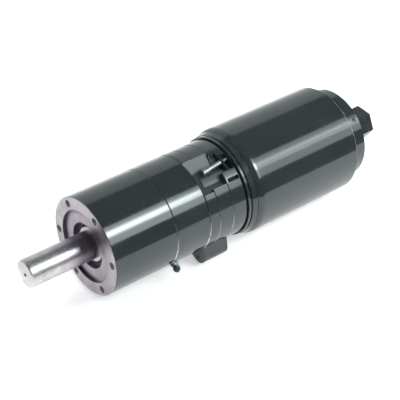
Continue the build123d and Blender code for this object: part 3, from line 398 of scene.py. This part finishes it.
# the record's material slots
MATERIALS = {
    "black_paint": gloss_paint("black_paint"),
    "machined_steel": turned_steel("machined_steel", rgb(0.43, 0.405, 0.42), rough=(0.30, 0.42)),
    "gear_steel": turned_steel("gear_steel", rgb(0.42, 0.42, 0.43)),
    "bearing_steel": turned_steel("bearing_steel", rgb(0.62, 0.62, 0.64), rough=(0.08, 0.16)),
    "screw_steel": plain_metal("screw_steel", rgb(0.30, 0.31, 0.315), rgb(0.42, 0.43, 0.435), (0.44, 0.58)),
    "black_oxide": plain_metal("black_oxide", rgb(0.018, 0.02, 0.021), rgb(0.035, 0.037, 0.04), (0.3, 0.45),
                               metallic=0.3),
    "seal_rubber": soft_solid("seal_rubber", rgb(0.030, 0.024, 0.042), rgb(0.048, 0.038, 0.064), (0.32, 0.5)),
    "green_cap": soft_solid("green_cap", rgb(0.002, 0.024, 0.019), rgb(0.005, 0.038, 0.031), (0.22, 0.36)),
    "bronze": turned_steel("bronze", rgb(0.50, 0.30, 0.13)),
    "copper": plain_metal("copper", rgb(0.50, 0.19, 0.07), rgb(0.66, 0.28, 0.12), (0.22, 0.4)),
    "core_steel": turned_steel("core_steel", rgb(0.2, 0.2, 0.21), line_scale=1500.0, depth=0.00004),
    "ferrite": soft_solid("ferrite", rgb(0.03, 0.03, 0.033), rgb(0.05, 0.05, 0.054), (0.5, 0.7)),
    "carbon": soft_solid("carbon", rgb(0.018, 0.018, 0.02), rgb(0.035, 0.035, 0.038), (0.4, 0.6)),
    "phenolic": soft_solid("phenolic", rgb(0.10, 0.03, 0.012), rgb(0.15, 0.05, 0.02), (0.3, 0.45)),
    "spring_steel": plain_metal("spring_steel", rgb(0.5, 0.5, 0.51), rgb(0.62, 0.62, 0.63), (0.2, 0.3)),
    "gland_plastic": soft_solid("gland_plastic", rgb(0.009, 0.011, 0.011), rgb(0.016, 0.019, 0.019),
                                (0.24, 0.36)),
}

# the nodes whose paint or steel is their own
OWN = {
    "output_shaft": keyed_shaft("output_shaft_steel"),
    "output_housing": machined_housing("housing_paint"),
    # bright bands on the casing and adapter edges (lower halves only) and on the can's rear rim: partly worn
    # paint, partly a painted highlight
    "ring_gear_casing": worn_paint_with_highlights("casing_paint", [(joint_1 - 0.6 * MM, joint_1, 0.8)], housing_radius,
                                   highlit_below=0.0),
    "adapter": worn_paint_with_highlights("adapter_paint", [(joint_2 - 0.6 * MM, joint_2, 0.8),
                                            (FIRST_GROOVE - 0.5 * MM, FIRST_GROOVE, 0.5),
                                            (SECOND_GROOVE - 0.5 * MM, SECOND_GROOVE, 0.5)],
                          housing_radius, highlit_below=0.0, dull_and_shade_inside=housing_radius - MM),
    "lug_screw": gloss_paint("lug_screw_paint"),
    "rear_cap_screws": gloss_paint("cap_screw_paint"),
    "motor_can": worn_paint_with_highlights("can_paint", [(can_rear - MM, can_rear + 0.95 * MM, 1.0)], can_radius,
                            metal_share=0.3),
}
slot_of = {row["node"]: row["material_slot"] for row in frame["record"]["subparts"]}
for name, obj in NODES.items():
    material = OWN.get(name) or MATERIALS[slot_of[name]]
    if not obj.material_slots:
        obj.data.materials.append(material)
    for slot in obj.material_slots:
        slot.material = material

# ---------------------------------------------------------------- stage
FLOOR_Z = cad_low.z
PAPER_EDGE_Y = 0.27
STAGE_REACH = 12.0


def quad(name, corners, material):
    mesh = bpy.data.meshes.new(name)
    mesh.from_pydata([tuple(c) for c in corners], [], [(0, 1, 2, 3)])
    obj = bpy.data.objects.new(name, mesh)
    bpy.context.scene.collection.objects.link(obj)
    mesh.materials.append(material)
    return obj


# The floor is a sheet of glowing paper. The paint mirrors it only up to PAPER_EDGE_Y.
floor_tree = Tree("pale_floor")
floor_tree.set(color=rgb(0.85, 0.85, 0.85), roughness=0.8, specular=0.1,
               glow=rgb(0.985, 1.0, 1.003), glow_strength=0.5)
floor_near = quad("floor_near", [(-STAGE_REACH, -STAGE_REACH, FLOOR_Z), (STAGE_REACH, -STAGE_REACH, FLOOR_Z),
                                 (STAGE_REACH, PAPER_EDGE_Y, FLOOR_Z), (-STAGE_REACH, PAPER_EDGE_Y, FLOOR_Z)],
                  floor_tree.mat)
floor_far = quad("floor_far", [(-STAGE_REACH, PAPER_EDGE_Y, FLOOR_Z), (STAGE_REACH, PAPER_EDGE_Y, FLOOR_Z),
                               (STAGE_REACH, STAGE_REACH, FLOOR_Z), (-STAGE_REACH, STAGE_REACH, FLOOR_Z)],
                 floor_tree.mat)
floor_far.visible_glossy = False


def glow(name, strength):
    """An emitting material. strength is a function of the tree that gives an output."""
    t = Tree(name)
    emission = t.node("ShaderNodeEmission")
    emission.inputs["Color"].default_value = rgb(0.95, 1.0, 1.01)
    t.link(strength(t), emission.inputs["Strength"])
    t.link(emission.outputs[0], t.out.inputs["Surface"])
    return t.mat


# The softbox faces the object from the camera's right, parallel to the shaft axis. Its own x
# coordinate runs along the shaft axis, and its own y up its face.
SOFTBOX_DISTANCE = 1.0
SOFTBOX_TILT = math.radians(34.0)
SOFTBOX_LOW, SOFTBOX_HIGH = -0.22, 0.56
SOFTBOX_REAR, SOFTBOX_FRONT = -1.75, -0.30
PANEL_GLOW = 4.6
LAMP_GLOW = 17.0
BAR_HEIGHT = 0.155


def softbox_glow(t):
    """A wide even panel with a bright lamp along its middle, and a thin bar in front of its rear part."""
    x, y, z = t.axes()
    front = t.ramp(x, -0.78, -0.64, smooth=True)
    panel = t.product(t.ramp(y, 0.43, 0.55, PANEL_GLOW, 0.0, smooth=True), t.blend(front, 0.62, 1.0))
    lamp = t.product(t.ramp(y, 0.02, 0.15, smooth=True), t.ramp(y, 0.21, 0.36, 1.0, 0.0, smooth=True),
                     t.blend(front, 0.27, 1.0), LAMP_GLOW)
    off_bar = t.ramp(t.math("ABSOLUTE", t.math("SUBTRACT", y, BAR_HEIGHT)), 0.010, 0.016)
    bar = t.math("MAXIMUM", off_bar, t.ramp(x, -0.62, -0.58, 0.35, 1.0))
    return t.product(t.math("ADD", panel, lamp), bar)


softbox = quad("softbox", [(SOFTBOX_REAR, SOFTBOX_LOW, 0), (SOFTBOX_FRONT, SOFTBOX_LOW, 0),
                           (SOFTBOX_FRONT, SOFTBOX_HIGH, 0), (SOFTBOX_REAR, SOFTBOX_HIGH, 0)],
               glow("softbox_glow", softbox_glow))
outwards = Vector((0, math.cos(SOFTBOX_TILT), math.sin(SOFTBOX_TILT)))
upwards = Vector((0, -math.sin(SOFTBOX_TILT), math.cos(SOFTBOX_TILT)))
softbox.matrix_world = Matrix.Translation(outwards * SOFTBOX_DISTANCE) @ Matrix(
    ((1, 0, 0), (0, upwards.y, outwards.y), (0, upwards.z, outwards.z))).to_4x4()
softbox.visible_camera = False

# The backdrop stands behind the object, brighter near the floor, and its top edge shows in the paint.
BACKDROP_Y = -1.6
BACKDROP_TOP = 2.05
BACKDROP_REAR, BACKDROP_FRONT = -4.0, 2.5


def backdrop_glow(t):
    return t.ramp(t.axes()[2], 0.1, 0.6, 1.12, 0.92, smooth=True)


backdrop = quad("backdrop", [(BACKDROP_REAR, BACKDROP_Y, FLOOR_Z), (BACKDROP_FRONT, BACKDROP_Y, FLOOR_Z),
                             (BACKDROP_FRONT, BACKDROP_Y, BACKDROP_TOP),
                             (BACKDROP_REAR, BACKDROP_Y, BACKDROP_TOP)],
                glow("backdrop_glow", backdrop_glow))
backdrop.visible_camera = False

# A weak lamp overhead lightens the shadows and makes no highlight.
FILL_PLACE = Vector((0.3, -0.2, 1.9))
FILL_TARGET = Vector((-0.1, 0.0, 0.0))
fill = bpy.data.objects.new("fill", bpy.data.lights.new("fill", "AREA"))
fill.data.shape = "DISK"
fill.data.size = 1.6
fill.data.energy = 26.0
fill.location = FILL_PLACE
fill.rotation_euler = (FILL_TARGET - FILL_PLACE).to_track_quat("-Z", "Y").to_euler()
fill.visible_glossy = False
fill.visible_camera = False
bpy.context.scene.collection.objects.link(fill)

# The camera sees a white room, and the object is lit by a dim grey one.
world = bpy.data.worlds.new("studio")
bpy.context.scene.world = world
world.use_nodes = True
nodes, links = world.node_tree.nodes, world.node_tree.links
nodes.clear()
seen = nodes.new("ShaderNodeBackground")
seen.inputs["Color"].default_value = rgb(1.0, 1.0, 1.0)
room = nodes.new("ShaderNodeBackground")
room.inputs["Color"].default_value = rgb(0.225, 0.24, 0.245)
path = nodes.new("ShaderNodeLightPath")
chooser = nodes.new("ShaderNodeMixShader")
world_out = nodes.new("ShaderNodeOutputWorld")
links.new(path.outputs["Is Camera Ray"], chooser.inputs[0])
links.new(room.outputs[0], chooser.inputs[1])
links.new(seen.outputs[0], chooser.inputs[2])
links.new(chooser.outputs[0], world_out.inputs["Surface"])

# ---------------------------------------------------------------- camera
CAMERA_PLACE = Vector((0.45134, 0.71511, 0.64464))
CAMERA_AZIMUTH = math.radians(141.2086)
CAMERA_ELEVATION = math.radians(35.3812)
CAMERA_LENS = 113.88
camera = bpy.data.objects.new("camera", bpy.data.cameras.new("camera"))
camera.data.lens = CAMERA_LENS
camera.data.sensor_width = 36.0
camera.location = CAMERA_PLACE
back = Vector((math.sin(CAMERA_AZIMUTH) * math.cos(CAMERA_ELEVATION),
               -math.cos(CAMERA_AZIMUTH) * math.cos(CAMERA_ELEVATION), math.sin(CAMERA_ELEVATION)))
camera.rotation_mode = "QUATERNION"
camera.rotation_quaternion = (-back).to_track_quat("-Z", "Y")
bpy.context.scene.collection.objects.link(camera)
bpy.context.scene.camera = camera
bpy.context.scene.view_settings.view_transform = "Standard"
